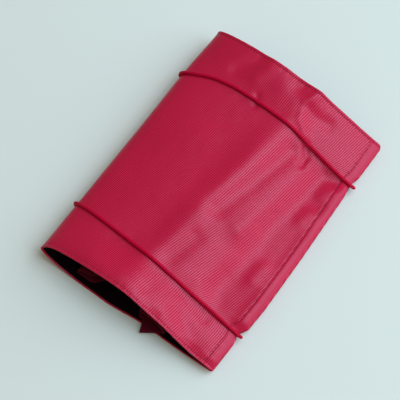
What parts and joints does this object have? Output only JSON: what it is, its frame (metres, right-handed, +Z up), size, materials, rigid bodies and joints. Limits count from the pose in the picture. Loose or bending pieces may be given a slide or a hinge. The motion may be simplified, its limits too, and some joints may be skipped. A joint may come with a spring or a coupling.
{
  "type": "cosmetic bag",
  "caption": "Soft ribbed-cloth cosmetic bag folded over like a book, lined, with an inner pocket, lying shut and held closed by elastic cords.",
  "frame": {"origin": "on the table, under the middle of the whole shut case", "axes": "+X from the fold to the open edge, +Y along the fold from the near open end to the far one, +Z up from the table"},
  "size_m": [0.1524, 0.2132, 0.034],
  "materials": {
    "ribbed_cloth": "crimson, finely ribbed, with a soft sheen",
    "lining_cloth": "very dark wine, plain weave, matte",
    "pocket_cloth": "wine red, plain weave, soft",
    "cord_sheath": "crimson braided sheath over elastic"
  },
  "bodies": {
    "root": {"outer_cover": "ribbed_cloth", "lining": "lining_cloth", "inner_pocket": "pocket_cloth", "elastic_cord_near": "cord_sheath", "elastic_cord_far": "cord_sheath"}
  },
  "joints": []
}
